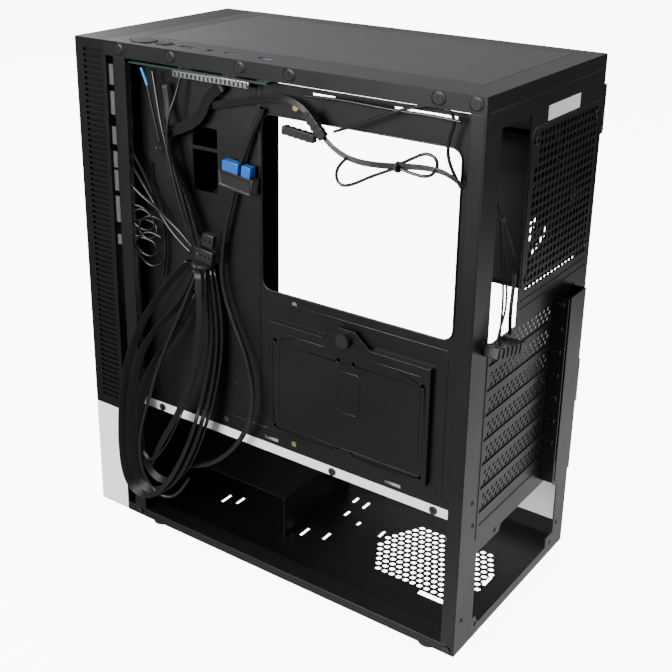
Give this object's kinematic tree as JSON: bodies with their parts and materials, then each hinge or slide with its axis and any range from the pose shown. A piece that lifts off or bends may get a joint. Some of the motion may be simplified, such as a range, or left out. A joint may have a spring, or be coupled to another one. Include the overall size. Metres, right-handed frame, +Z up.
{
  "type": "desktop computer case",
  "caption": "Mid-tower computer case with open cable side, hinged glass door, meshed front, white supply shroud, exhaust fan and loose control leads.",
  "frame": {"origin": "centre of the footprint at the bottom of the feet", "axes": "+Z up, the front faces -Y, the open cable side faces +X and the glass door -X"},
  "size_m": [0.2179, 0.3912, 0.4464],
  "materials": {
    "black_mesh": "fine black mesh",
    "black_plastic": "fine moulded grain",
    "black_steel": "fine textured black powder coat",
    "board": "dark solder mask",
    "brass": "turned brass",
    "bright_screw": "black zinc screw",
    "clear_glass": "clear tempered glass",
    "cord_black": "soft black insulation",
    "cord_blue": "soft blue insulation",
    "dark_screw": "black oxide screw",
    "label_paper": "blank white sticker",
    "pin_steel": "plain ground steel",
    "plug_black": "moulded nylon",
    "plug_blue": "moulded blue nylon",
    "port_metal": "nickel plated shell",
    "rubber_feet": "matt black rubber",
    "tie_black": "soft twist tie",
    "white_plastic": "satin moulded white",
    "white_steel": "satin white powder coat"
  },
  "bodies": {
    "chassis": {"audio_jack": "black_plastic", "base_pan": "black_steel", "base_rail": "black_steel", "blank_label": "label_paper", "bow_left": "cord_black", "bow_right": "cord_black", "cable_ties": "tie_black", "case_screws": "dark_screw", "control_ribbon": "cord_black", "drive_bracket": "black_steel", "drive_cage": "black_steel", "fan_frame": "black_plastic", "fan_lead": "cord_black", "fan_plug": "plug_black", "fast_usb_plug": "plug_blue", "feet": "rubber_feet", "folded_ribbon": "cord_black", "front_lead_a": "cord_black", "front_lead_b": "cord_black", "front_mesh": "black_mesh", "front_panel": "black_plastic", "front_plate": "black_steel", "front_post": "black_steel", "header_plugs": "plug_black", "hinge_blocks": "black_plastic", "hinge_pins": "pin_steel", "inline_connectors": "plug_black", "inline_lead": "cord_black", "inner_loop": "cord_black", "io_board": "board", "light_lead": "cord_blue", "lower_fascia": "white_plastic", "middle_loop": "cord_black", "motherboard_tray": "black_steel", "outer_loop": "cord_black", "rear_plate": "black_steel", "rear_post": "black_steel", "roof_panel": "black_steel", "roof_rail": "black_steel", "round_lead": "cord_black", "slot_covers": "black_steel", "slot_ledge": "black_steel", "slot_screw_cover": "black_steel", "slot_screws": "bright_screw", "standoffs": "brass", "supply_shroud": "white_steel", "switch_ribbon": "cord_black", "tangled_lead": "cord_black", "top_run": "cord_black", "top_wire": "cord_black", "usb_fast_port": "port_metal", "usb_ports": "port_metal", "window_frame": "black_steel"},
    "door": {"glass_door": "clear_glass", "door_leaves": "black_plastic"},
    "power_button": {"power_button": "black_plastic"},
    "reset_button": {"reset_button": "black_plastic"},
    "fan_rotor": {"fan_rotor": "black_plastic"},
    "top_filter": {"top_filter": "black_mesh"},
    "thumbscrew": {"drive_thumbscrew": "dark_screw"}
  },
  "joints": [
    {"name": "door_hinge", "type": "hinge", "parent": "chassis", "child": "door", "pos_m": [-0.0992, 0.1786, 0.2], "axis": [0, 0, -1], "range_deg": [0, 110]},
    {"name": "power_press", "type": "slide", "parent": "chassis", "child": "power_button", "axis": [0, 0, -1], "range_m": [0, 0.0015], "stiffness_N_per_m": 400, "springref_m": -0.0005},
    {"name": "reset_press", "type": "slide", "parent": "chassis", "child": "reset_button", "axis": [0, 0, -1], "range_m": [0, 0.0015], "stiffness_N_per_m": 400, "springref_m": -0.0005},
    {"name": "fan_spin", "type": "hinge", "parent": "chassis", "child": "fan_rotor", "pos_m": [-0.0288, 0.17, 0.348], "axis": [0, 1, 0], "continuous": true},
    {"name": "filter_lift", "type": "slide", "parent": "chassis", "child": "top_filter", "axis": [0, 0, 1], "range_m": [0, 0.05]},
    {"name": "thumbscrew_turn", "type": "hinge", "parent": "chassis", "child": "thumbscrew", "pos_m": [0.09, 0.0697, 0.2408], "axis": [1, 0, 0], "continuous": true}
  ]
}
